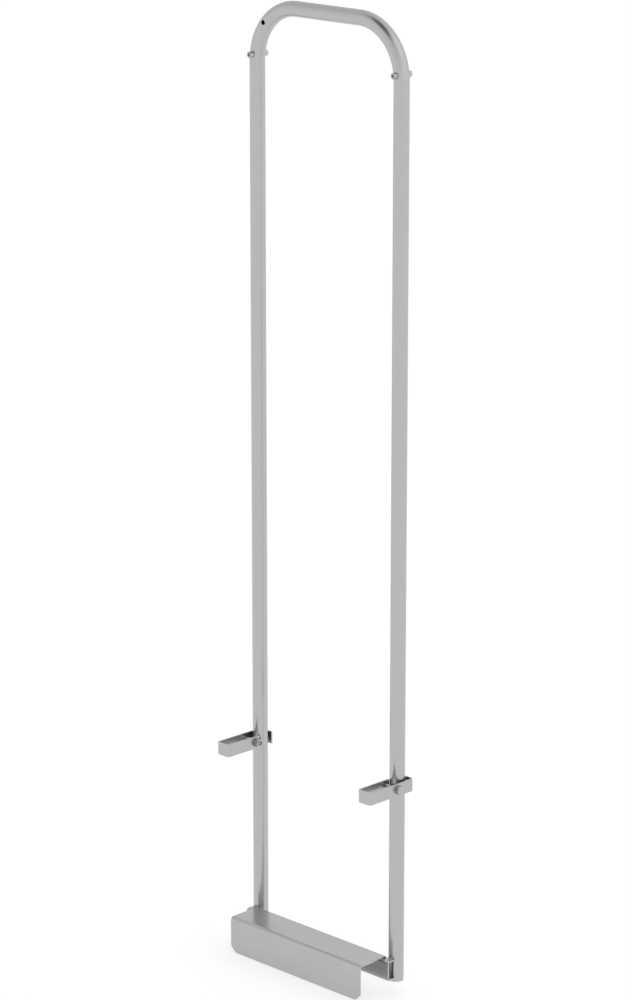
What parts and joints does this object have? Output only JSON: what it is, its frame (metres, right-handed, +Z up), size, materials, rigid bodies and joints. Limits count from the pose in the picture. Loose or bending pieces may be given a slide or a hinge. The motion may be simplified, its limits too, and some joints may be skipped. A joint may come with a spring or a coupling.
{
  "type": "hook-on grab frame",
  "caption": "Tall inverted U of round steel tube with a hook plate on a crossbar near its lower ends and a strap clamp sliding on each leg.",
  "frame": {"origin": "middle of the hook seat: the underside of the hook plate, centred between the legs and halfway across the hook gap", "axes": "+Z up along the legs, +X to the frame's right seen from the front, +Y to the back, away from the flange"},
  "size_m": [0.36, 0.1014, 1.5725],
  "materials": {
    "tube_steel": "satin ground tube",
    "sheet_steel": "satin rolled sheet, folded",
    "strap_steel": "satin flat bar, folded",
    "fastener_steel": "bright machined"
  },
  "bodies": {
    "frame": {"grab_tube": "tube_steel", "hook_plate": "sheet_steel", "crossbar_channel": "sheet_steel", "left_stop_bolt": "fastener_steel", "left_stop_nut": "fastener_steel", "right_stop_bolt": "fastener_steel", "right_stop_nut": "fastener_steel"},
    "left_clamp": {"left_clamp_strap": "strap_steel", "left_clamp_bolt": "fastener_steel"},
    "right_clamp": {"right_clamp_strap": "strap_steel", "right_clamp_bolt": "fastener_steel"},
    "left_clamp_nut": {"left_clamp_nut": "fastener_steel"},
    "right_clamp_nut": {"right_clamp_nut": "fastener_steel"}
  },
  "joints": [
    {"name": "left_clamp_slide", "type": "slide", "parent": "frame", "child": "left_clamp", "axis": [0, 0, 1], "range_m": [-0.276, 1.11]},
    {"name": "right_clamp_slide", "type": "slide", "parent": "frame", "child": "right_clamp", "axis": [0, 0, 1], "range_m": [-0.276, 1.11]},
    {"name": "left_nut_spin", "type": "hinge", "parent": "left_clamp", "child": "left_clamp_nut", "pos_m": [-0.1459, 0.0333, 0.293], "axis": [1, 0, 0], "continuous": true},
    {"name": "right_nut_spin", "type": "hinge", "parent": "right_clamp", "child": "right_clamp_nut", "pos_m": [0.1459, 0.0333, 0.293], "axis": [1, 0, 0], "continuous": true}
  ]
}
